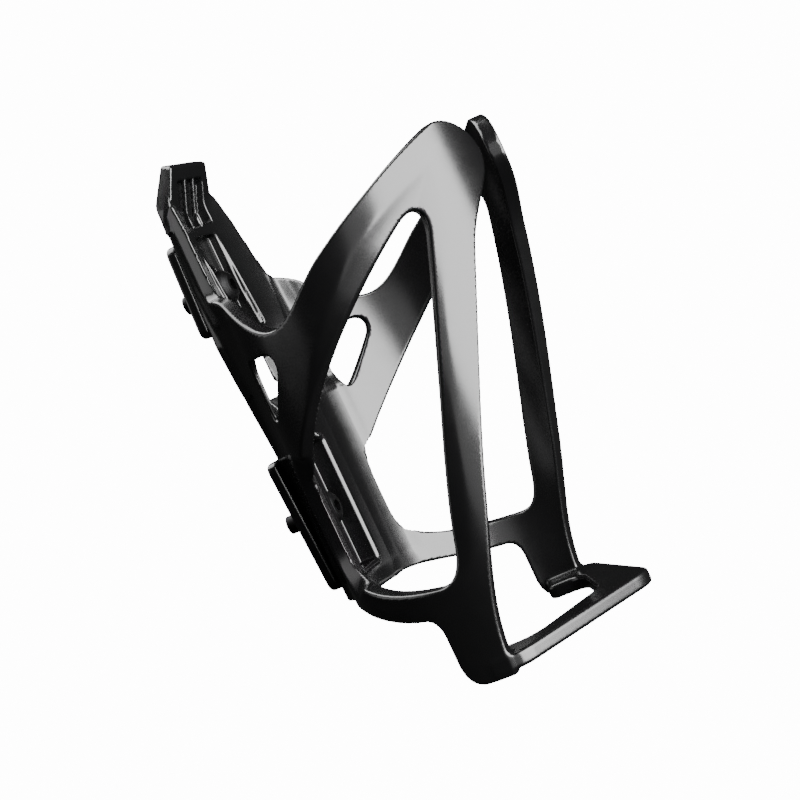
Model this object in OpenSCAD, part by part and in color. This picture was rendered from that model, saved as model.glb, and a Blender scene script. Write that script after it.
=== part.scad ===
// Water bottle cage for a bicycle frame
//
// A one-piece style moulded cage: a long spine with two bolt channels, two
// wings that reach round the bottle, a low ring and a pointed toe strap under
// the bottle. The members are modelled as separate nodes with fine gaps.
//
// Frame: the origin is midway between the two bolts, on the rear face of the
// pads. +Y points back into the bicycle frame, +Z up along the bottle, +X
// towards the right wing. The bottle axis is parallel to Z.
//
// Angles called "a" are measured round the bottle axis from the back (+Y):
// 0 is the spine, 90 the side, 180 the front. Heights are measured from the
// origin.

/* [Bottle] */
// Diameter of the bottle the cage holds
bottle_d = 74; // [70:0.5:76]
// Radial clearance between the bottle and the cage wall
bottle_gap = 0.3; // [0:0.1:1]
// Wall thickness of the wings, the ring and the front plate
wall = 4.2; // [3:0.1:6]

/* [Spine] */
// Distance between the two bolts (the bicycle standard)
boss_spacing = 64; // [64:64]
// Bottle axis to the pads' rear face
axis_depth = 47.5; // [45:0.5:52]
// Thickness of the two pads
pad_t = 3; // [2:0.5:4]
// Height of the spine's top, where the head tab bends forward
bend_z = 55.5; // [50:0.5:60]
// Height of the spine's lower end
foot_z = -56; // [-60:0.5:-50]
// Rear half width at the bend
rib_top = 10.6; // [8:0.2:13]
// Rear half width at the widest point
rib_mid = 14; // [12:0.2:16]
// Rear half width at the lower end
rib_low = 6.5; // [5:0.2:9]
// Height of the widest point
rib_mid_z = 18; // [10:0.5:25]

/* [Bolt channels] */
// Clear width of the channels
channel_w = 10.6; // [10:0.1:12]
// Depth of material left behind a channel, without the pad
floor_t = 2.4; // [2:0.1:4]
// Lip thickness beside a channel
lip_t = 1.8; // [1.4:0.1:2.5]
// Width of the adjusting slots
slot_w = 5.5; // [5.2:0.1:6]
// End-to-end length of the adjusting slots
slot_l = 13.5; // [9:0.5:18]

/* [Head tab] */
// Height of the tab's top edge
head_z = 65.5; // [62:0.5:70]
// Half width of the tab's top edge
head_half = 11.3; // [9:0.1:14]
// Half width at the bend
bend_half = 13.5; // [11:0.1:16]
// How far the tab leans towards the bottle
head_lean = 5; // [2:0.5:8]

/* [Wings] */
// Angle at which each wing leaves the spine's front plate
root_a = 32.5; // [30:0.5:38]
// Angle of the wing tips
tip_a = 165; // [155:0.5:168]
// Height of the wing tips
tip_z = 44.1; // [40:0.5:50]
// Gap between neighbouring members
member_gap = 0.6; // [0.4:0.1:1]

/* [Ring and toe] */
// Height at which the arms join the ring
arm_cut_z = -53; // [-56:0.5:-50]
// Underside of the toe strap
toe_z = -81.5; // [-85:0.5:-78]
// Thickness of the toe strap
toe_t = 4; // [3:0.5:6]
// How far the toe point reaches in front of the bottle axis
toe_reach = 30.5; // [26:0.5:34]

/* [Bolts] */
// Bolt length under the head
bolt_l = 12; // [10:12]
// How far the cage slides on its bolts, each way
slot_travel = 3.5; // [0:0.5:4]

/* [Hidden] */
$fn = 96;
eps = 0.01;
r_in = bottle_d / 2 + bottle_gap;
r_out = r_in + wall;
r_mid = (r_in + r_out) / 2;
rib_y = -pad_t;
floor_y = rib_y - floor_t;
upper_z = boss_spacing / 2;
lower_z = -boss_spacing / 2;
black = [0.06, 0.06, 0.065];
steel = [0.55, 0.56, 0.58];
bolt_r = 2.5;
shank_r = 2.2;
head_r = 4.75;
washer_r = 4.9;
washer_t = 1;
head_h = 2.7;

// ---- curves -------------------------------------------------------------
// A point on a cubic Bezier curve
function bez(p, t) =
    pow(1 - t, 3) * p[0] + 3 * t * pow(1 - t, 2) * p[1]
    + 3 * t * t * (1 - t) * p[2] + pow(t, 3) * p[3];

// A chain of cubic curves: p holds 3 n + 1 control points
function chain(p, steps = 8) =
    [for (k = [0 : (len(p) - 1) / 3 - 1])
     for (i = [0 : steps - 1])
     bez([p[3 * k], p[3 * k + 1], p[3 * k + 2], p[3 * k + 3]], i / steps)];

// Wing outline as [angle, height], from the spine round the tip and back
wing_edge = [
    [root_a, 30.4], [42, 27.0], [52, 15.7], [63, 15.5],
    [72, 15.3], [79, 20.6], [90, 25.7],
    [105, 32.0], [130, 41.0], [147, tip_z],
    [152, tip_z + 0.5], [tip_a + 1, 39.5], [tip_a, 33.0],
    [tip_a - 1, 28.0], [150, 22.5], [143, 13.0],
    [133, -0.5], [119, -22.5], [110, -40.0],
    [107, -46.0], [105, -50.0], [103.5, arm_cut_z]
];
// Inner side of the arm and the branch, from the arm's foot to the spine
wing_hole = [
    [92.0, arm_cut_z], [92.2, -51.0], [92.6, -48.5], [93.2, -46.5],
    [99, -32.0], [119, 1.5], [130, 21.0],
    [132, 26.3], [129, 28.3], [122, 25.5],
    [95, 13.5], [62, -6.5], [36, -20.8],
    [35, -21.3], [34, -21.8], [root_a, -22.5]
];

// Window in the wing's root, corners as [angle, height]
window_edge = [
    [35.5, -2.0], [35.5, 5.0], [35.5, 11.2], [40.0, 11.2],
    [45, 11.2], [49, 11.2], [52.5, 11.0],
    [57, 10.5], [58, 7.5], [54.5, 5.0],
    [50, 1.5], [45.5, -1.5], [42, -3.6],
    [38, -6.0], [35.5, -5.5], [35.5, -2.0]
];

// The part of an outline between two angles
function band(p, a0, a1) = [for (q = p) if (q[0] > a0 && q[0] < a1) q];

function to_side(p) = [for (q = p) [r_mid * cos(q[0]), q[1]]];

module bottle_axis() {
    translate([0, -axis_depth, 0])
        children();
}

module tube(z0, z1) {
    bottle_axis()
        translate([0, 0, z0])
            difference() {
                cylinder(r = r_out, h = z1 - z0);
                translate([0, 0, -1])
                    cylinder(r = r_in, h = z1 - z0 + 2);
            }
}

// Everything between two angles on the +X side of the bottle axis
module sector(a0, a1, z0, z1, r = 60) {
    bottle_axis()
        translate([0, 0, z0])
            linear_extrude(z1 - z0)
                polygon([
                    [0, 0],
                    [r * sin(a0), r * cos(a0)],
                    [r * sin((a0 + a1) / 2) * 1.4, r * cos((a0 + a1) / 2) * 1.4],
                    [r * sin(a1), r * cos(a1)]
                ]);
}

// A side outline in [y, z], pushed out along +X
module push_x(pts) {
    bottle_axis()
        rotate([90, 0, 90])
            linear_extrude(60)
                polygon(pts);
}

// An outline of [angle, height] points, pushed out from the bottle axis
// towards the angle mid
module push_out(mid, pts) {
    bottle_axis()
        rotate([0, 0, -mid])
            translate([0, 60, 0])
                rotate([90, 0, 0])
                    linear_extrude(60)
                        polygon([for (q = pts) [r_mid * sin(q[0] - mid), q[1]]]);
}

// An outline in [x, z], mirrored about the spine, pushed from y0 to y1
module slab(half, y0, y1) {
    translate([0, y1, 0])
        rotate([90, 0, 0])
            linear_extrude(y1 - y0)
                polygon(concat(half, [for (i = [len(half) - 1 : -1 : 0])
                                      [-half[i][0], half[i][1]]]));
}

module long_hole(w, l, y0, y1) {
    translate([0, y1, 0])
        rotate([90, 0, 0])
            linear_extrude(y1 - y0)
                union() {
                    translate([0, (l - w) / 2])
                        circle(d = w);
                    translate([0, (w - l) / 2])
                        circle(d = w);
                    square([w, l - w], center = true);
                }
}

// ---- wings ----------------------------------------------------------------
// The window and the outline are cut square to the wall, one slice at a time
module wing_slice(a0, a1) {
    mid = (a0 + a1) / 2;
    low = arm_cut_z + member_gap;
    outer = concat(
        band(chain(wing_edge, 16), a0 - 9, a1 + 9),
        a1 < 100 ? [[a1 + 9, low - 3]] : [],
        a0 < 100 ? [[a0 - 9, low - 3]] : []
    );
    left = max(a0 - 6, root_a - 6);
    hole = concat(
        band(chain(wing_hole, 16), a0 - 6, a1 + 6),
        left < 92.5 ? [[left, -24], [left, low - 5], [min(a1 + 6, 91.5), low - 5]] : []
    );
    intersection() {
        tube(low, tip_z + 2);
        sector(a0 - 0.05, a1 + 0.05, low - 1, tip_z + 3);
        difference() {
            push_out(mid, outer);
            if (a0 < 128)
                push_out(mid, hole);
            if (a0 < 60)
                push_out(mid, chain(window_edge));
        }
    }
}

module wing() {
    cuts = [root_a, 60, 80, 98, 115, 132, 149, tip_a + 4];
    difference() {
        union() {
            for (i = [0 : len(cuts) - 2])
                wing_slice(cuts[i], cuts[i + 1]);
        }
        bottle_axis()
            rotate([0, 0, -root_a])
                translate([-60, 0, -100])
                    cube([60 + member_gap, 60, 200]);
    }
}

module right_wing() {
    color(black)
        wing();
}

module left_wing() {
    color(black)
        mirror([1, 0, 0])
            wing();
}

// ---- spine ----------------------------------------------------------------
module front_plate() {
    plate = [
        [bend_half, bend_z], [17.9, 33.5], [24, 31], [24, -22], [23, -30],
        [23, -46], [26, -50], [26, foot_z]
    ];
    intersection() {
        tube(foot_z, bend_z);
        slab(plate, -20, 0);
        union() {
            sector(-root_a, root_a, foot_z - 1, bend_z + 1);
        }
    }
}

module rib() {
    outline = [
        [rib_top, bend_z], [rib_mid, rib_mid_z], [9, -12], [rib_low, foot_z]
    ];
    difference() {
        slab(outline, -12, rib_y);
        bottle_axis()
            translate([0, 0, -100])
                cylinder(r = r_in, h = 200);
    }
}

module channel(z0, z1) {
    h = z1 - z0;
    translate([0, 0, (z0 + z1) / 2])
        long_hole(channel_w, h, -20, floor_y);
}

// Plate and rib, open between the two channels
module spine() {
    color(black)
        difference() {
            union() {
                front_plate();
                rib();
            }
            channel(20.5, 46.5);
            channel(-49, -15.5);
            slab([[7, 1], [10, 4], [10, 10], [7, 13]], -20, 5);
            translate([0, 0, upper_z])
                long_hole(slot_w, slot_l, -20, 5);
            translate([0, 0, lower_z])
                long_hole(slot_w, slot_l, -20, 5);
        }
}

module head_tab() {
    low_y = -axis_depth + r_in + 1.2;
    h = head_z - bend_z - 0.1;
    color(black)
        translate([0, 0, bend_z + 0.1])
            intersection() {
                rotate([90, 0, 90])
                    translate([0, 0, -30])
                        linear_extrude(60)
                            polygon([
                                [low_y, 0], [rib_y, 0], [rib_y - 1.2, 1.5],
                                [low_y - head_lean + 5, h],
                                [low_y - head_lean + 1.4, h]
                            ]);
                slab([[head_half, h + 1], [bend_half, 0]], -40, 5);
            }
}

// ---- pads -----------------------------------------------------------------
module pad(z0, z1, w0, w1, hole_z) {
    r = 3;
    color(black)
        difference() {
            translate([0, 0, 0])
                rotate([90, 0, 0])
                    linear_extrude(pad_t - 0.05)
                        polygon([
                            [-w0 + r, z0], [w0 - r, z0], [w0 - 0.5, z0 + 0.6 * r],
                            [w0 + 0.2, z0 + 1.4 * r], [w1, z1 - r], [w1 - r, z1],
                            [-w1 + r, z1], [-w1, z1 - r], [-w0 - 0.2, z0 + 1.4 * r],
                            [-w0 + 0.5, z0 + 0.6 * r]
                        ]);
            translate([0, 0, hole_z])
                long_hole(slot_w, slot_l, -10, 5);
        }
}

module upper_pad() {
    pad(21.5, 47, 13.3, 10.7, upper_z);
}

module lower_pad() {
    pad(-52, -14.5, 7.2, 11.5, lower_z);
}

// ---- ring, feet and toe ---------------------------------------------------
foot_a = 76;

module ring_half() {
    band = [
        [root_a - 2, -46.0], [35, -49.5], [42, -50.5], [52, -53.6],
        [60, -55.3], [68, -56.2], [foot_a + 1, -57.0],
        [foot_a + 1, -59.0], [foot_a + 1, -61.0], [foot_a + 1, -63.6],
        [70, -63.4], [60, -62.2], [49, -60.2],
        [42, -58.8], [37, -57.6], [root_a - 2, -56.6],
        [root_a - 2, -54], [root_a - 2, -50], [root_a - 2, -46.0]
    ];
    difference() {
        intersection() {
            tube(-66, -44);
            push_x(to_side(chain(band)));
        }
        bottle_axis()
            rotate([0, 0, -root_a])
                translate([-60, 0, -100])
                    cube([60, 60, 200]);
        bottle_axis()
            rotate([0, 0, -foot_a])
                translate([0, 0, -100])
                    cube([60, 60, 200]);
    }
}

module lower_ring() {
    color(black) {
        ring_half();
        mirror([1, 0, 0])
            ring_half();
    }
}

module arm_foot() {
    foot = [
        [70, -57.0], [84, -57.2], [90.5, -56.8], [92, arm_cut_z],
        [95, arm_cut_z], [99, arm_cut_z], [103.5, arm_cut_z],
        [98, -64.0], [94.5, -70.0], [93.5, -76.5],
        [93.3, -79.0], [93.0, -81.0], [92.5, toe_z - 1],
        [90, toe_z - 1], [86, toe_z - 1], [83, toe_z - 1],
        [78, toe_z - 1], [foot_a, -79.0], [foot_a, -75.0],
        [foot_a, -70.0], [74, -64.0], [70, -57.0]
    ];
    intersection() {
        tube(toe_z - 2, arm_cut_z);
        push_x(to_side(chain(foot)));
        sector(foot_a, 120, toe_z - 3, arm_cut_z + 1);
    }
}

module right_arm_foot() {
    color(black)
        arm_foot();
}

module left_arm_foot() {
    color(black)
        mirror([1, 0, 0])
            arm_foot();
}

// The strap under the bottle: a shelf inside each foot and a V to the point
module toe_strap() {
    inner_half = 28;
    color(black)
        bottle_axis()
            translate([0, 0, toe_z])
                difference() {
                    linear_extrude(toe_t)
                        polygon([
                            [-r_in + 0.2, 6], [-inner_half, 6], [-inner_half, -2],
                            [-24, -7], [-4, -15.2], [0, -16], [4, -15.2],
                            [24, -7], [inner_half, -2], [inner_half, 6],
                            [r_in - 0.2, 6], [r_in - 0.1, -2.5], [r_out - 0.5, -3.2],
                            [r_out - 1, -6.3], [5.5, -28.4], [3, -toe_reach + 0.8],
                            [0, -toe_reach], [-3, -toe_reach + 0.8], [-5.5, -28.4],
                            [-r_out + 1, -6.3], [-r_out + 0.5, -3.2],
                            [-r_in + 0.1, -2.5]
                        ]);
                    translate([0, 0, -5])
                        difference() {
                            translate([-60, -3.1, 0])
                                cube([120, 20, 20]);
                            translate([0, 0, -1])
                                cylinder(r = r_in - 0.1, h = 30);
                        }
                }
}

// ---- bolts and washers ----------------------------------------------------
// Each washer is captive on the bolt's plain shank, which is thinner than the
// threaded end that stands out behind the pads
module washer_at(z) {
    color(steel)
        translate([0, floor_y - 0.05, z])
            rotate([90, 0, 0])
                difference() {
                    cylinder(r = washer_r, h = washer_t);
                    translate([0, 0, -1])
                        cylinder(r = shank_r + 0.08, h = washer_t + 2);
                }
}

module upper_washer() {
    washer_at(upper_z);
}

module lower_washer() {
    washer_at(lower_z);
}

module bolt_at(z) {
    seat_y = floor_y - 0.05 - washer_t - 0.05;
    dome = (head_r * head_r - 3 * 3 + head_h * head_h) / (2 * head_h);
    color(steel)
        translate([0, seat_y, z])
            rotate([90, 0, 0])
                difference() {
                    union() {
                        rotate_extrude()
                            polygon([
                                [0, 0], [head_r, 0], [head_r, 0.8], [head_r - 0.5, 1.6],
                                [head_r - 1.3, 2.3], [head_r - 2, head_h], [0, head_h]
                            ]);
                        translate([0, 0, seat_y])
                            cylinder(r = shank_r, h = 0.5 - seat_y);
                        translate([0, 0, -bolt_l])
                            cylinder(r = bolt_r, h = bolt_l + seat_y);
                    }
                    translate([0, 0, head_h - 1.8])
                        cylinder(d = 3.46, h = 3, $fn = 6);
                }
}

module upper_bolt() {
    bolt_at(upper_z);
}

module lower_bolt() {
    bolt_at(lower_z);
}

spine();
head_tab();
upper_pad();
lower_pad();
left_wing();
right_wing();
lower_ring();
left_arm_foot();
right_arm_foot();
toe_strap();
upper_washer();
lower_washer();
upper_bolt();
lower_bolt();
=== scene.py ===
import math
import bpy
import bmesh
import numpy as np
from mathutils import Vector, Matrix


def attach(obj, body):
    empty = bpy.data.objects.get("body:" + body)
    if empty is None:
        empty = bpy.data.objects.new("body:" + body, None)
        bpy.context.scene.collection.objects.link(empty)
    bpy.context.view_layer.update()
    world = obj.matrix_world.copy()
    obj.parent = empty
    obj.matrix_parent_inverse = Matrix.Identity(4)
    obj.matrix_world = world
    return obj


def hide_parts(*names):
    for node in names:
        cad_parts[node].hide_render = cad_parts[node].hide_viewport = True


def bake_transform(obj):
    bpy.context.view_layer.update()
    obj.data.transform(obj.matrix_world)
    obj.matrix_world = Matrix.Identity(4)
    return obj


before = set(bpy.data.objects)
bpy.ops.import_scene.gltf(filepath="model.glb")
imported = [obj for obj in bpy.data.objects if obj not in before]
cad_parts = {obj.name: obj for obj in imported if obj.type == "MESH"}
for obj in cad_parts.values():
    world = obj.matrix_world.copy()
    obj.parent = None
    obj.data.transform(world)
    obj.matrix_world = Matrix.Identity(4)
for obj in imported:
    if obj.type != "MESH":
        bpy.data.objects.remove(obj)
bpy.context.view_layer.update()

MM = 0.001

# ---------------------------------------------------------------- dimensions
# in mm: x to the side, q the depth behind the bottle axis, z the height
BOTTLE_R = 37.3          # inside radius of the cage
WALL = 4.2
R_OUT = BOTTLE_R + WALL
R_MID = BOTTLE_R + WALL / 2
AXIS_DEPTH = 47.5        # bottle axis to the pads' rear face
PAD_T = 3.0
RIB_BACK = AXIS_DEPTH - PAD_T
FLOOR = RIB_BACK - 2.4   # bottom of the bolt channels
BEHIND = 30              # what is cut into the spine stays behind this depth
BEND_Z, HEAD_TOP = 55.5, 65.5   # where the head tab starts to lean, and ends
FOOT_Z = -56.0           # lower end of the rib
TOE_LOW, TOE_HIGH = -81.5, -77.5
BOSS_Z = 32.0            # the bolts lie this far above and below the origin
SLOT_W, SLOT_L = 5.5, 13.5

EDGE_R = 0.7             # rounding of the moulding's edges
RIB_EDGE = 0.8           # rounding of the rib and the head tab
CUT_EDGE = 0.35          # rounding where a pocket is cut
PAD_EDGE, PAD_CORNER = 0.7, 3.0

# the front plate lies back from the bottle, between the lips of its channels
RECESS = 0.9
SET_BACK = 2.6           # further back in its upper part
HEAD_SET_BACK = 0.5      # and again below the head tab
SIDE_SET_BACK = 2.2      # and beside the opening between the channels

# bevel round the big opening of each wing
FACET_TOP, FACET_ARM = 0.34, 0.22   # its slopes along the branch and the arm
FACET_CAP = 2.3          # its greatest depth

# rib behind the front plate: half widths at these heights
RIB_START = 38
RIB_HEIGHTS = [-56, -12, 8, 18, 32, 56, 60, 66]
RIB_FRONT = [11, 15, 18.3, 18.0, 16.6, 13.3, 11.2, 8.5]
RIB_REAR = [6.5, 9, 12.6, 14, 12.8, 10.6, 9.0, 7.0]

# planes of the head tab: a point as (q, z), and the way the plane faces
TAB_FRONT = ((39.3, BEND_Z), (-0.92, -0.39))
TAB_REAR = ((43.8, 59.2), (0.84, 0.54))
TAB_TOP = ((35.0, 65.0), (-0.40, 0.917))

# bolt channels: lower and upper end, and the radius their lips reach in to
UPPER_CHANNEL, LOWER_CHANNEL = (19.5, 46.5), (-49.5, -14.5)
CHANNEL_HALF = 6.4
LIP_WAY, LIP_HALF = 0.95, 0.55      # the lip's middle from the channel, half its width
UPPER_LIP_HEIGHTS, UPPER_LIP_R = [21, 33, 46], [38.2, 39.1, 40.2]
LOW_LIP_R = 37.2

STEP = 0.62      # grid of the moulding's surface
CURVE_STEPS = 20


# ------------------------------------------------------------------ outlines
def trace(start, legs):
    """A path of straight legs (one point) and cubic legs (three points)."""
    path = [np.array(start, float)]
    for leg in legs:
        a = path[-1]
        if len(leg) == 2:
            path.append(np.array(leg, float))
            continue
        b, c, d = [np.array(p, float) for p in leg]
        for i in range(1, CURVE_STEPS + 1):
            t = i / CURVE_STEPS
            path.append(
                (1 - t) ** 3 * a + 3 * t * (1 - t) ** 2 * b
                + 3 * t * t * (1 - t) * c + t ** 3 * d
            )
    return np.array(path)


# [angle from the back, height], one side; every outline is drawn on the
# unrolled middle of the wall
OUTER = trace((-10, 56), [
    (18.5, 56),
    ((19.7, 56), (20.3, 55.5), (20.4, 54.2)),
    (25.6, 34.5),
    ((26.4, 31.5), (27.5, 30.4), (30, 29.8)),
    ((38, 27.5), (50, 15.9), (63, 15.5)),
    ((72, 15.3), (79, 20.6), (90, 25.7)),
    ((105, 32), (130, 41), (147, 44.1)),
    ((153, 45.4), (167, 40), (165.3, 32.5)),
    ((164, 27), (150, 22.5), (143, 13)),
    ((133, -0.5), (119, -22.5), (110, -40)),
    ((103, -54), (95.5, -64), (93.8, -76)),
    (93.5, -82.5),
    (84, -82.5),
    ((78.5, -82.5), (75.5, -80), (75.2, -76)),
    (75.2, -69),
    ((75.3, -65.5), (73.5, -63.5), (69, -63.3)),
    ((60, -62.5), (48, -60), (36, -57.8)),
    ((26, -56.3), (15, -55.6), (-10, -55.6)),
    (-10, 56),
])
OPENING = trace((33, -22.5), [
    ((34.5, -21.3), (38, -19.8), (44, -16.2)),
    ((62, -6.5), (95, 13.5), (122, 25.5)),
    ((129, 28.3), (132.3, 26.3), (130, 21)),
    ((119, 1.5), (99, -32), (93.2, -46.5)),
    ((90.8, -53), (88.5, -57.2), (81, -57)),
    ((66, -55.9), (50, -53.7), (39, -49.5)),
    ((34.5, -47.8), (31.3, -45.5), (31, -40.5)),
    ((30.6, -33), (30.6, -27), (33, -22.5)),
])
WINDOW = trace((35.5, -2.0), [
    ((35.5, 5.0), (35.5, 11.2), (40.0, 11.2)),
    ((45, 11.2), (49, 11.2), (52.5, 11.0)),
    ((57, 10.5), (58, 7.5), (54.5, 5.0)),
    ((50, 1.5), (45.5, -1.5), (42, -3.6)),
    ((38, -6.0), (35.5, -5.5), (35.5, -2.0)),
])
CREASE_TOP = trace((60, -7.2), [
    ((78, 8), (96, 21.5), (112, 27.6)),
    ((124, 32), (133, 34.3), (138.7, 34.8)),
])
CREASE_ARM = trace((138.7, 34.8), [
    ((140.5, 26), (128, 11), (120, -3.3)),
    ((113, -17), (105, -35), (99, -47.3)),
    ((97, -51), (94, -56.5), (88, -56.9)),
])
# [x, depth behind the bottle axis] of the toe strap, one side
TOE_PLAN = trace((-2, -16), [
    (0, -16),
    ((2.5, -16), (3.5, -15.4), (5, -14.8)),
    (22, -7.9),
    ((25, -6.6), (28, -4.5), (28, -1.5)),
    (28, 2.0),
    ((28, 4.4), (29, 5.6), (31.5, 6.0)),
    (38.5, 7.0),
    (41, 2),
    (41.3, -3),
    ((41, -5.5), (39.5, -7), (38, -8)),
    (6, -28),
    ((3.5, -29.6), (2, -30.5), (0, -30.5)),
    (-2, -30.5),
    (-2, -16),
])


def unroll(path):
    """From angles in degrees to lengths along the middle of the wall."""
    out = path.copy()
    out[:, 0] = np.radians(path[:, 0]) * R_MID
    return out


class Plane:
    """Distances to flat outlines, kept on a fine grid."""

    def __init__(self, low, high, cell=0.3):
        self.low, self.cell = low, cell
        self.u = np.arange(low[0], high[0] + cell, cell, dtype=np.float32)
        self.v = np.arange(low[1], high[1] + cell, cell, dtype=np.float32)
        self.maps = []

    def add(self, line, region=None, signed=True):
        """Distance to the line, negative inside the region (or inside the line)."""
        region = line if region is None else region
        u, v = np.meshgrid(self.u, self.v, indexing="ij")
        best = np.full(u.shape, 1e9, np.float32)
        for a, b in zip(line[:-1], line[1:]):
            e = b - a
            n = float(e @ e)
            if n < 1e-9:
                continue
            pu, pv = u - np.float32(a[0]), v - np.float32(a[1])
            t = np.clip((pu * np.float32(e[0]) + pv * np.float32(e[1])) / n, 0, 1)
            best = np.minimum(
                best, (pu - t * np.float32(e[0])) ** 2 + (pv - t * np.float32(e[1])) ** 2
            )
        inside = np.zeros(u.shape, bool)
        for a, b in zip(region, np.roll(region, -1, axis=0)):
            if a[1] == b[1]:
                continue
            rows = (a[1] > self.v) != (b[1] > self.v)
            at = (b[0] - a[0]) * (self.v - a[1]) / (b[1] - a[1]) + a[0]
            inside ^= rows[None, :] & (self.u[:, None] < at[None, :])
        d = np.sqrt(best)
        self.maps.append((np.where(inside, -d, d) if signed else d).astype(np.float32))
        return len(self.maps) - 1

    def at(self, index, u, v):
        f = self.maps[index]
        a = np.clip((u - self.low[0]) / self.cell, 0, len(self.u) - 2.001)
        b = np.clip((v - self.low[1]) / self.cell, 0, len(self.v) - 2.001)
        i, j = a.astype(np.int32), b.astype(np.int32)
        a, b = a - i, b - j
        return (
            f[i, j] * (1 - a) * (1 - b) + f[i + 1, j] * a * (1 - b)
            + f[i, j + 1] * (1 - a) * b + f[i + 1, j + 1] * a * b
        )


wall_map = Plane((-8.0, -92.0), (R_MID * math.radians(175), 64.0))
crease_top, crease_arm = unroll(CREASE_TOP), unroll(CREASE_ARM)
crease = np.vstack([crease_top, crease_arm])
bevel_inside = unroll(np.array([(75.0, -52.0), (60.0, -30.0)]))
M_OUTER = wall_map.add(unroll(OUTER))
M_OPEN = wall_map.add(unroll(OPENING))
M_WINDOW = wall_map.add(unroll(WINDOW))
M_BEVEL = wall_map.add(crease, np.vstack([crease, bevel_inside]))
M_TOP = wall_map.add(crease_top, signed=False)
M_ARM = wall_map.add(crease_arm, signed=False)
toe_map = Plane((-4.0, -46.0), (48.0, 30.0))
M_TOE = toe_map.add(TOE_PLAN)


# ------------------------------------------------------------ distance field
def meet(a, b, r):
    """Intersection with a rounded edge."""
    return np.minimum(np.maximum(a, b), -r) + np.hypot(
        np.maximum(a + r, 0), np.maximum(b + r, 0)
    )


def join(a, b, r):
    """Union with a fillet."""
    return np.maximum(np.minimum(a, b), r) - np.hypot(
        np.maximum(r - a, 0), np.maximum(r - b, 0)
    )


def ramp(v, a, b):
    """From 0 at a to 1 at b, smoothly."""
    t = np.clip((v - a) / (b - a), 0, 1)
    return t * t * (3 - 2 * t)


def soft(v):
    """The value where it is positive, with a soft start."""
    return 0.5 * (v + np.sqrt(v * v + 0.6))


def beyond(plane, q, z):
    """Distance in front of a plane given by a point and its direction."""
    (q0, z0), (to_q, to_z) = plane
    return to_q * (q - q0) + to_z * (z - z0)


def carve(body, tool, q, edge):
    """Takes a tool out of the spine, and leaves what is in front alone."""
    return meet(body, -np.maximum(tool, BEHIND - q), edge)


def stadium(x, z, low, high, half):
    """Long hole along z with round ends."""
    mid, reach = (low + high) / 2, (high - low) / 2 - half
    return np.hypot(x, np.maximum(np.abs(z - mid) - reach, 0)) - half


def trough(x, z, low, high, half, corner):
    """Long pocket along z, its ends rounded by a smaller corner."""
    mid, reach = (low + high) / 2, (high - low) / 2
    return meet(x - half, np.abs(z - mid) - reach, corner)


def bevel_depth(s, z):
    """How far the bevel round the big opening lies below the outside."""
    to_top, to_arm = wall_map.at(M_TOP, s, z), wall_map.at(M_ARM, s, z)
    share = to_arm / (to_top + to_arm + 0.01)
    slope = FACET_ARM + (FACET_TOP - FACET_ARM) * share
    depth = slope * soft(-wall_map.at(M_BEVEL, s, z))
    return FACET_CAP * np.tanh(depth / FACET_CAP)


def wall(r, theta, z):
    """Wings, ring, arms and front plate: one wall round the bottle.

    Gives the distance and the wall's inside radius."""
    s, deg = theta * R_MID, np.degrees(theta)
    away = SET_BACK * ramp(z, 2, 36) + HEAD_SET_BACK * ramp(z, 46, 58)
    away = away * (1 - ramp(deg, 25, 37))
    beside_gap = (ramp(z, -5, 1) * (1 - ramp(z, 12, 18))
                  * ramp(deg, 12, 22) * (1 - ramp(deg, 40, 46)))
    recess = RECESS * (1 - ramp(deg, 32, 38)) * ramp(z, -57, -52) + away
    inner = BOTTLE_R + (recess + SIDE_SET_BACK * beside_gap)

    # the flat outlines, with the plate's edges slanting outwards
    depth = r - BOTTLE_R - RECESS
    taper = 1.1 * ramp(z, 24, 36) * (1 - ramp(deg, 27, 36))
    flat = wall_map.at(M_OUTER, s, z) + taper * np.clip(depth - away, 0, 5)
    flat = flat / np.hypot(1, taper)
    slant = 1.2 * (1 - ramp(deg, 36, 46)) * np.clip(depth, 0, 5)
    flat = np.maximum(flat, (slant - wall_map.at(M_OPEN, s, z)) * 0.8)
    flat = np.maximum(flat, -wall_map.at(M_WINDOW, s, z))

    outside = r - (R_OUT - bevel_depth(s, z) + 0.85 * away)
    return meet(flat, np.maximum(outside, inner - r), EDGE_R), inner


def rib(x, q, z, r, inner):
    """Rib behind the front plate, narrower towards the pads."""
    wide = np.interp(z, RIB_HEIGHTS, RIB_FRONT)
    narrow = np.interp(z, RIB_HEIGHTS, RIB_REAR)
    back = (q - RIB_START) / (RIB_BACK - RIB_START)
    flank = (x - (wide + (narrow - wide) * back)) * 0.86
    shape = meet(flank, q - RIB_BACK, RIB_EDGE)
    shape = meet(shape, np.maximum(beyond(TAB_TOP, q, z), FOOT_Z - z), RIB_EDGE)
    shape = meet(shape, beyond(TAB_REAR, q, z), RIB_EDGE)
    shape = np.maximum(shape, 36.5 - q)
    return np.maximum(shape, inner + 0.2 - r)


def head_tab(x, q, z):
    """Tab that leans towards the bottle, narrower upwards and rearwards."""
    front = beyond(TAB_FRONT, q, z)
    thick = np.clip(-front / WALL, 0, 1)
    climb = np.clip((z - BEND_Z) / (HEAD_TOP - BEND_Z), 0, 1)
    half = (13.5 - 2.2 * climb) * (1 - thick) + (10.6 - 1.3 * climb) * thick
    tab = meet(np.maximum(front, beyond(TAB_REAR, q, z)), (x - half) * 0.88, RIB_EDGE)
    tab = meet(tab, beyond(TAB_TOP, q, z), RIB_EDGE)
    return np.maximum(np.maximum(tab, q - RIB_BACK), 50 - z)


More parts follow.
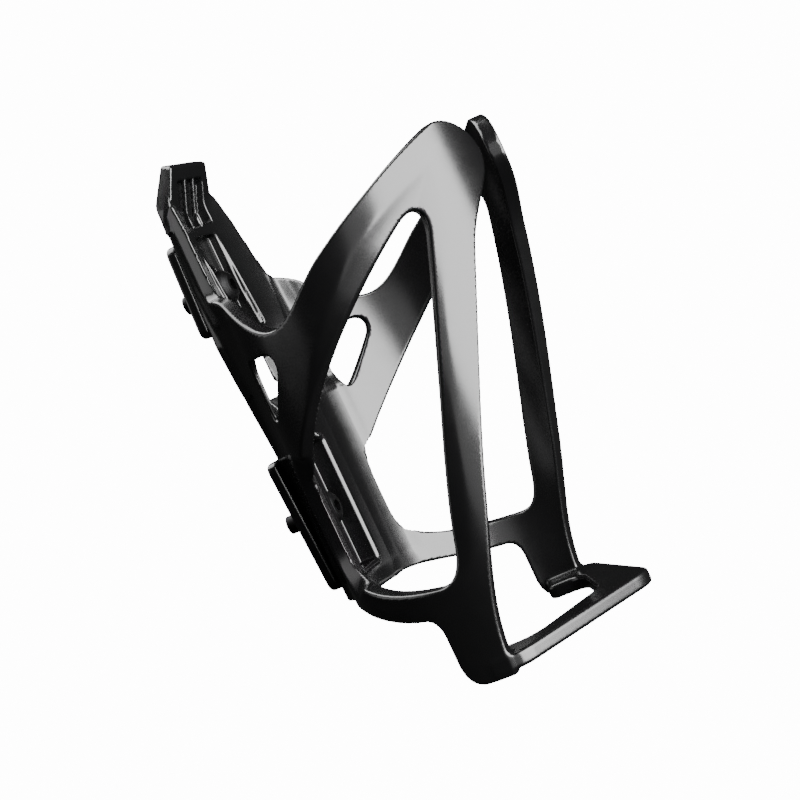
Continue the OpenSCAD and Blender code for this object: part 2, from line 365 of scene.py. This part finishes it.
def head_pocket(x, q, z):
    """Pocket in the head tab, with a thin bar up each side of its middle."""
    front = beyond(TAB_FRONT, q, z)
    pocket = np.maximum(q - 42.6, -2.2 - front)
    pocket = np.maximum(pocket, trough(x, z, 49.5, 61.5, 8.2, 1.2))
    bars = np.maximum(np.abs(x - 2.7) - 0.45, -1.2 - front)
    return np.maximum(pocket, -bars)


def with_channels(body, x, q, z, r):
    """Bolt channels with raised lips, and the opening between them."""
    upper_lip = np.interp(z, UPPER_LIP_HEIGHTS, UPPER_LIP_R)
    for (low, high), lip_r in ((UPPER_CHANNEL, upper_lip), (LOWER_CHANNEL, LOW_LIP_R)):
        ring = trough(x, z, low, high, CHANNEL_HALF, 1.0)
        lip = meet(np.abs(ring - LIP_WAY) - LIP_HALF, lip_r - r, 0.5)
        lip = np.maximum(np.maximum(lip, r - 42), BEHIND - q)
        body = join(body, lip, 0.5)
        body = carve(body, np.maximum(ring, q - FLOOR), q, CUT_EDGE)
    step = np.maximum(stadium(x, z, -20.0, -9.5, 5.2), q - 39.9)
    body = carve(body, step, q, CUT_EDGE)
    gap = meet((x - 15.2 + 0.86 * (q - 39.5)) * 0.76, np.abs(z - 7) - 6.5, 3.0)
    return carve(body, gap, q, 0.5)


def toe_strap(x, q, z):
    """Strap under the bottle, with a shelf inside each foot."""
    mid, half = (TOE_LOW + TOE_HIGH) / 2, (TOE_HIGH - TOE_LOW) / 2
    return meet(toe_map.at(M_TOE, x, q), np.abs(z - mid) - half, 1.0)


def with_slots(body, x, q, z):
    """A slot for each bolt."""
    for at in (BOSS_Z, -BOSS_Z):
        hole = stadium(x, z, at - SLOT_L / 2, at + SLOT_L / 2, SLOT_W / 2)
        body = carve(body, hole, q, 0.3)
    return body


def moulding(x, q, z):
    """Distance to the surface of the whole moulding, alike on both sides."""
    x = np.abs(x)
    r = np.hypot(x, q)
    shell, inner = wall(r, np.arctan2(x, q), z)
    body = join(shell, rib(x, q, z, r, inner), 2.2)
    body = join(body, head_tab(x, q, z), RIB_EDGE)
    body = meet(body, -head_pocket(x, q, z), CUT_EDGE)
    body = with_channels(body, x, q, z, r)
    body = join(body, toe_strap(x, q, z), 1.4)
    return with_slots(body, x, q, z)


# ----------------------------------------------------------- surface meshing
def worth_trying(q, r, z):
    """Columns of the grid that the moulding can reach at this height."""
    near = (r > 33) & (r < 50)
    if z < -72:
        near |= r < 50
    if z > 50:
        near |= q > 28
    return near & (q < 48)


def half_surface(field, low, high, h):
    """Surface nets over x >= 0: one point in each cell that the surface crosses."""
    xs = np.arange(-h / 2, high[0] + h, h)
    ys = np.arange(low[1], high[1] + h, h)
    zs = np.arange(low[2], high[2] + h, h)
    shape = (len(xs), len(ys), len(zs))
    gx, gy = np.meshgrid(xs, ys, indexing="ij")
    rr = np.hypot(gx, gy)
    value = np.full(shape, 9.0, np.float32)
    for k in range(len(zs)):
        near = worth_trying(gy, rr, zs[k])
        value[:, :, k][near] = field(gx[near], gy[near], np.full(near.sum(), zs[k]))
    solid = value < 0
    count = np.zeros(tuple(n - 1 for n in shape), np.int8)
    corners = [(i, j, k) for i in (0, 1) for j in (0, 1) for k in (0, 1)]
    for i, j, k in corners:
        count += solid[i:shape[0] - 1 + i, j:shape[1] - 1 + j, k:shape[2] - 1 + k]
    ci, cj, ck = np.nonzero((count > 0) & (count < 8))
    number = np.full(count.shape, -1, np.int64)
    number[ci, cj, ck] = np.arange(len(ci))
    total = np.zeros((len(ci), 3))
    hits = np.zeros(len(ci))
    edges = [(a, b) for a in corners for b in corners
             if a < b and sum(abs(p - q) for p, q in zip(a, b)) == 1]
    for a, b in edges:
        va = value[ci + a[0], cj + a[1], ck + a[2]]
        vb = value[ci + b[0], cj + b[1], ck + b[2]]
        cut = (va < 0) != (vb < 0)
        t = np.where(cut, va / np.where(cut, va - vb, 1), 0)
        for axis in range(3):
            total[:, axis] += np.where(cut, a[axis] + t * (b[axis] - a[axis]), 0)
        hits += cut
    local = total / hits[:, None]
    points = np.stack([
        xs[0] + (ci + local[:, 0]) * h,
        ys[0] + (cj + local[:, 1]) * h,
        zs[0] + (ck + local[:, 2]) * h,
    ], axis=1)
    points[ci == 0, 0] = 0.0

    quads = []
    for axis in range(3):
        o1, o2 = [(1, 2), (2, 0), (0, 1)][axis]
        here = solid
        there = np.roll(solid, -1, axis=axis)
        change = here != there
        index = [slice(1, n - 1) for n in shape]
        index[axis] = slice(1 if axis else 0, shape[axis] - 1)
        mask = np.zeros(shape, bool)
        mask[tuple(index)] = change[tuple(index)]
        if axis != 0:
            mask[0] = False
        ei, ej, ek = np.nonzero(mask)
        base = np.stack([ei, ej, ek], axis=1)
        ring = []
        for d1, d2 in ((-1, -1), (0, -1), (0, 0), (-1, 0)):
            cell = base.copy()
            cell[:, o1] += d1
            cell[:, o2] += d2
            ring.append(number[cell[:, 0], cell[:, 1], cell[:, 2]])
        quad = np.stack(ring, axis=1)
        enter = ~here[ei, ej, ek]
        quad[enter] = quad[enter][:, ::-1]
        quads.append(quad)
    quads = np.vstack(quads)
    quads = quads[(quads >= 0).all(axis=1)]
    seam = ci == 0
    return points, quads, seam


def gradient(field, p, e):
    """Slope of the field at the points, from a step of e to either side."""
    g = np.zeros_like(p)
    for axis in range(3):
        a, b = p.copy(), p.copy()
        a[:, axis] += e
        b[:, axis] -= e
        g[:, axis] = (field(*a.T) - field(*b.T)) / (2 * e)
    return g


def settle(field, points, quads, seam, h):
    """Evens out the mesh and pulls every point on to the surface."""
    n = len(points)
    pairs = np.vstack([quads[:, [0, 1]], quads[:, [1, 2]], quads[:, [2, 3]], quads[:, [3, 0]]])
    for turn in range(5):
        if turn in (1, 2, 3):
            total, hits = np.zeros_like(points), np.zeros(n)
            for a, b in (pairs.T, pairs[:, ::-1].T):
                for axis in range(3):
                    total[:, axis] += np.bincount(a, points[b, axis], n)
                hits += np.bincount(a, minlength=n)
            mean = total / np.maximum(hits, 1)[:, None]
            points = points + 0.4 * (mean - points)
        value = field(*points.T)
        g = gradient(field, points, 0.05)
        size = np.maximum((g * g).sum(axis=1), 0.2)
        move = -(value / size)[:, None] * g
        length = np.linalg.norm(move, axis=1)
        move *= np.minimum(1, 0.45 * h / np.maximum(length, 1e-9))[:, None]
        points = points + move
        points[seam, 0] = 0.0
    return points


points, quads, seam = half_surface(moulding, (0, -43.0, -84.0), (43.6, 46.0, 68.0), STEP)
points = settle(moulding, points, quads, seam, STEP)
normals = gradient(moulding, points, 0.12)
normals[seam, 0] = 0.0
normals /= np.maximum(np.linalg.norm(normals, axis=1), 1e-9)[:, None]
a, b, c, d = [points[quads[:, i]] for i in range(4)]
facing = np.cross(c - a, d - b)
if (facing * normals[quads[:, 0]]).sum() < 0:
    quads = quads[:, ::-1]

# the other half, and the move to the frame's origin
mirror = np.arange(len(points)) + len(points)
mirror[seam] = np.nonzero(seam)[0]
both = np.vstack([points, points * [-1, 1, 1]])
both_n = np.vstack([normals, normals * [-1, 1, 1]])
both_q = np.vstack([quads, mirror[quads][:, ::-1]])
both[:, 1] -= AXIS_DEPTH


# ------------------------------------------------------------ into Blender
def add_object(name, data):
    o = bpy.data.objects.new(name, data)
    bpy.context.scene.collection.objects.link(o)
    return o


def mesh_piece(name, verts, faces, vert_normals):
    """A smooth piece from those of the points that its faces use."""
    used, inverse = np.unique(faces.ravel(), return_inverse=True)
    v, f = verts[used] * MM, inverse.reshape(faces.shape)
    me = bpy.data.meshes.new(name)
    me.vertices.add(len(v))
    me.vertices.foreach_set("co", v.astype(np.float32).ravel())
    me.loops.add(f.size)
    me.loops.foreach_set("vertex_index", f.astype(np.int32).ravel())
    me.polygons.add(len(f))
    me.polygons.foreach_set("loop_start", np.arange(0, f.size, f.shape[1], dtype=np.int32))
    me.update(calc_edges=True)
    me.validate()
    me.polygons.foreach_set("use_smooth", np.ones(len(me.polygons), bool))
    me.normals_split_custom_set_from_vertices(vert_normals[used].astype(np.float32))
    return add_object(name, me)


# each wing is a skin of its own, from its root down to its foot
WING_ROOT, WING_FOOT_Z, WING_REACH = 36, -52.6, 46
middle = both[both_q].mean(axis=1)
reach = np.hypot(middle[:, 0], middle[:, 1] + AXIS_DEPTH)
turn = np.degrees(np.arctan2(np.abs(middle[:, 0]), middle[:, 1] + AXIS_DEPTH))
wing = (turn > WING_ROOT) & (middle[:, 2] > WING_FOOT_Z) & (reach < WING_REACH)
left, right = wing & (middle[:, 0] < 0), wing & (middle[:, 0] > 0)

cage = mesh_piece("cage_moulding", both, both_q[~wing], both_n)
left_wing = mesh_piece("wing_skin_left", both, both_q[left], both_n)
right_wing = mesh_piece("wing_skin_right", both, both_q[right], both_n)


def extruded(outline, y, depth):
    """A closed plate from its outline in x and z, from y backwards."""
    bm = bmesh.new()
    face = bm.faces.new([bm.verts.new((x * MM, y * MM, z * MM)) for x, z in outline])
    made = bmesh.ops.extrude_face_region(bm, geom=[face])
    moved = [g for g in made["geom"] if isinstance(g, bmesh.types.BMVert)]
    bmesh.ops.translate(bm, verts=moved, vec=(0, depth * MM, 0))
    bmesh.ops.recalc_face_normals(bm, faces=bm.faces)
    return bm


def from_bmesh(name, bm):
    me = bpy.data.meshes.new(name)
    bm.to_mesh(me)
    bm.free()
    return add_object(name, me)


def pad(name, outline, slot_z):
    """A flat pad on the rear face, with rounded edges and a slot."""
    bm = extruded(outline, -PAD_T, PAD_T)
    rim = [e for e in bm.edges if abs(e.verts[0].co.y - e.verts[1].co.y) < 1e-6]
    bmesh.ops.bevel(bm, geom=rim, offset=PAD_EDGE * MM, segments=3, profile=0.5,
                    affect="EDGES")
    o = from_bmesh(name, bm)
    cutter = slot_cutter(slot_z)
    cut = o.modifiers.new("slot", "BOOLEAN")
    cut.object = cutter
    cut.operation = "DIFFERENCE"
    cut.solver = "EXACT"
    bpy.context.view_layer.update()
    done = bpy.data.meshes.new_from_object(o.evaluated_get(bpy.context.evaluated_depsgraph_get()))
    o.modifiers.clear()
    o.data = done
    bpy.data.objects.remove(cutter)
    for p in done.polygons:
        p.use_smooth = True
    done.set_sharp_from_angle(angle=math.radians(35))
    return o


def slot_cutter(at):
    ring = []
    for end, first in ((1, 0), (-1, 180)):
        for i in range(17):
            t = math.radians(first + 180 * i / 16)
            ring.append((SLOT_W / 2 * math.cos(t),
                         at + end * (SLOT_L - SLOT_W) / 2 + SLOT_W / 2 * math.sin(t)))
    return from_bmesh("slot_cutter", extruded(ring, -20, 40))


def pad_outline(z0, z1, w0, w1):
    """Tapered plate with round corners, from its ends and their half widths."""
    plan = [(-w0, z0), (w0, z0), (w1, z1), (-w1, z1)]
    out = []
    for i, p in enumerate(plan):
        p = np.array(p, float)
        before_p = np.array(plan[i - 1], float) - p
        after_p = np.array(plan[(i + 1) % 4], float) - p
        a = p + PAD_CORNER * before_p / np.linalg.norm(before_p)
        b = p + PAD_CORNER * after_p / np.linalg.norm(after_p)
        for j in range(9):
            t = j / 8
            out.append((1 - t) ** 2 * a + 2 * t * (1 - t) * p + t * t * b)
    return out


upper_pad = pad("pad_upper", pad_outline(21.5, 47, 13.3, 10.7), BOSS_Z)
lower_pad = pad("pad_lower", pad_outline(-52, -14.5, 7.4, 11.5), -BOSS_Z)
pieces = (cage, left_wing, right_wing, upper_pad, lower_pad)

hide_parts("spine", "head_tab", "lower_ring", "left_arm_foot",
            "right_arm_foot", "toe_strap")
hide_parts("left_wing")
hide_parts("right_wing")
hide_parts("upper_pad")
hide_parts("lower_pad")
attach(cage, "cage")
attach(upper_pad, "cage")
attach(lower_pad, "cage")
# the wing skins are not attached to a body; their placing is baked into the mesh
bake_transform(left_wing)
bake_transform(right_wing)


# ---------------------------------------------------------------- materials
def principled(name):
    m = bpy.data.materials.new(name)
    m.use_nodes = True
    tree = m.node_tree
    return m, tree, tree.nodes["Principled BSDF"]


def noise(tree, scale, detail=3.0):
    coords = tree.nodes.new("ShaderNodeTexCoord")
    n = tree.nodes.new("ShaderNodeTexNoise")
    n.inputs["Scale"].default_value = scale
    n.inputs["Detail"].default_value = detail
    tree.links.new(coords.outputs["Object"], n.inputs["Vector"])
    return n


def spread(tree, source, low_value, high_value):
    """Noise stretched to a range of values."""
    r = tree.nodes.new("ShaderNodeMapRange")
    r.inputs["From Min"].default_value = 0.3
    r.inputs["From Max"].default_value = 0.7
    r.inputs["To Min"].default_value = low_value
    r.inputs["To Max"].default_value = high_value
    tree.links.new(source, r.inputs["Value"])
    return r.outputs["Result"]


def two_tone(tree, p, scale, dark, light):
    """Base colour that wanders between two tones."""
    cloud = noise(tree, scale)
    mix = tree.nodes.new("ShaderNodeMix")
    mix.data_type = "RGBA"
    mix.inputs["A"].default_value = (*dark, 1)
    mix.inputs["B"].default_value = (*light, 1)
    tree.links.new(cloud.outputs["Fac"], mix.inputs["Factor"])
    tree.links.new(mix.outputs["Result"], p.inputs["Base Color"])


def plastic(name, base, rough):
    m, tree, p = principled(name)
    two_tone(tree, p, 60.0, (base * 0.8, base * 0.8, base * 0.84),
             (base * 1.25, base * 1.25, base * 1.3))
    tree.links.new(
        spread(tree, noise(tree, 220.0).outputs["Fac"], rough - 0.015, rough + 0.015),
        p.inputs["Roughness"],
    )
    grain = noise(tree, 2600.0, 2.0)
    bump = tree.nodes.new("ShaderNodeBump")
    bump.inputs["Strength"].default_value = 0.06
    bump.inputs["Distance"].default_value = 0.00005
    tree.links.new(grain.outputs["Fac"], bump.inputs["Height"])
    tree.links.new(bump.outputs["Normal"], p.inputs["Normal"])
    p.inputs["IOR"].default_value = 1.5
    return m


def steel(name, base, rough):
    m, tree, p = principled(name)
    p.inputs["Metallic"].default_value = 1.0
    two_tone(tree, p, 300.0, (base * 0.9, base * 0.9, base * 0.92), (base, base, base * 1.02))
    tree.links.new(
        spread(tree, noise(tree, 700.0).outputs["Fac"], rough - 0.06, rough + 0.08),
        p.inputs["Roughness"],
    )
    return m


black = plastic("satin_black_plastic", 0.002, 0.22)
washer_metal = steel("washer_steel_finish", 0.05, 0.4)
bolt_metal = steel("bolt_steel_finish", 0.012, 0.5)


def dress(o, material):
    o.data.materials.clear()
    o.data.materials.append(material)


for piece in pieces:
    dress(piece, black)
for name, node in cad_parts.items():
    metal = {"washer": washer_metal, "bolt": bolt_metal}.get(name.split("_")[-1], black)
    dress(node, metal)

# ------------------------------------------------------- stage and lighting
CENTRE = Vector((0, -37.5, -13.7)) * MM


def glow(name, level):
    """An even white that lights nothing."""
    m = bpy.data.materials.new(name)
    m.use_nodes = True
    tree = m.node_tree
    tree.nodes.clear()
    out = tree.nodes.new("ShaderNodeOutputMaterial")
    light = tree.nodes.new("ShaderNodeEmission")
    tint = tree.nodes.new("ShaderNodeTexNoise")
    tint.inputs["Scale"].default_value = 2.0
    ramp_node = tree.nodes.new("ShaderNodeMapRange")
    ramp_node.inputs["To Min"].default_value = level
    ramp_node.inputs["To Max"].default_value = level * 1.02
    tree.links.new(tint.outputs["Fac"], ramp_node.inputs["Value"])
    tree.links.new(ramp_node.outputs["Result"], light.inputs["Strength"])
    tree.links.new(light.outputs["Emission"], out.inputs["Surface"])
    return m


def camera_only(o):
    """Seen behind the object, but not mirrored in it."""
    o.visible_diffuse = False
    o.visible_glossy = False
    o.visible_transmission = False
    o.visible_shadow = False


def sheet_of(name, size, z):
    me = bpy.data.meshes.new(name)
    me.from_pydata(
        [(-size, -size, z), (size, -size, z), (size, size, z), (-size, size, z)], [],
        [(0, 1, 2, 3)],
    )
    return add_object(name, me)


def dome_of(name, radius):
    bm = bmesh.new()
    bmesh.ops.create_uvsphere(bm, u_segments=48, v_segments=24, radius=radius)
    return from_bmesh(name, bm)


white = glow("studio_white", 14.0)
floor = sheet_of("studio_floor", 3.0, -0.2)
dome = dome_of("studio_backdrop", 4.0)
for o in (floor, dome):
    dress(o, white)
    camera_only(o)

world = bpy.data.worlds.new("studio")
world.use_nodes = True
world.node_tree.nodes["Background"].inputs["Color"].default_value = (1, 1, 1, 1)
world.node_tree.nodes["Background"].inputs["Strength"].default_value = 0.02
bpy.context.scene.world = world


def softbox(name, direction, distance, width, height, watts):
    """A rectangular light that faces the object from a direction."""
    data = bpy.data.lights.new(name, "AREA")
    data.shape = "RECTANGLE"
    data.size, data.size_y = width, height
    data.energy = watts
    o = add_object(name, data)
    way = Vector(direction).normalized()
    o.location = CENTRE + way * distance
    o.rotation_euler = way.to_track_quat("Z", "Y").to_euler()
    o.visible_camera = False
    return o


# the big front light draws the broad highlights, the one above the thin rims
softbox("front_left", (-0.40, -0.917, 0.17), 0.9, 1.1, 1.05, 86)
softbox("side_left", (-0.93, -0.36, 0.1), 0.9, 0.4, 0.9, 1.6)
softbox("above", (0.05, 0.42, 0.9), 0.9, 0.9, 0.7, 18.0)
softbox("back_left", (-0.34, 0.90, 0.32), 1.0, 0.7, 0.5, 1.8)

# ------------------------------------------------------------------- camera
AZIMUTH, ELEVATION, ROLL = -69.796, 2.080, -25.10
DISTANCE = 492.8
TARGET = Vector((0, -37.49, -13.67))
az, el, roll = map(math.radians, (AZIMUTH, ELEVATION, ROLL))
away = Vector((math.sin(az) * math.cos(el), -math.cos(az) * math.cos(el), math.sin(el)))
place = (TARGET + away * DISTANCE) * MM
level = (-away).cross(Vector((0, 0, 1))).normalized()
upright = level.cross(-away)
side = level * math.cos(roll) + upright * math.sin(roll)
up = -level * math.sin(roll) + upright * math.cos(roll)
turned = Matrix((side, up, away)).transposed().to_4x4()
lens = bpy.data.cameras.new("camera")
lens.lens = 86.3
lens.sensor_width = 36.0
lens.clip_start, lens.clip_end = 0.01, 20.0
camera = add_object("camera", lens)
camera.matrix_world = Matrix.Translation(place) @ turned
bpy.context.scene.camera = camera
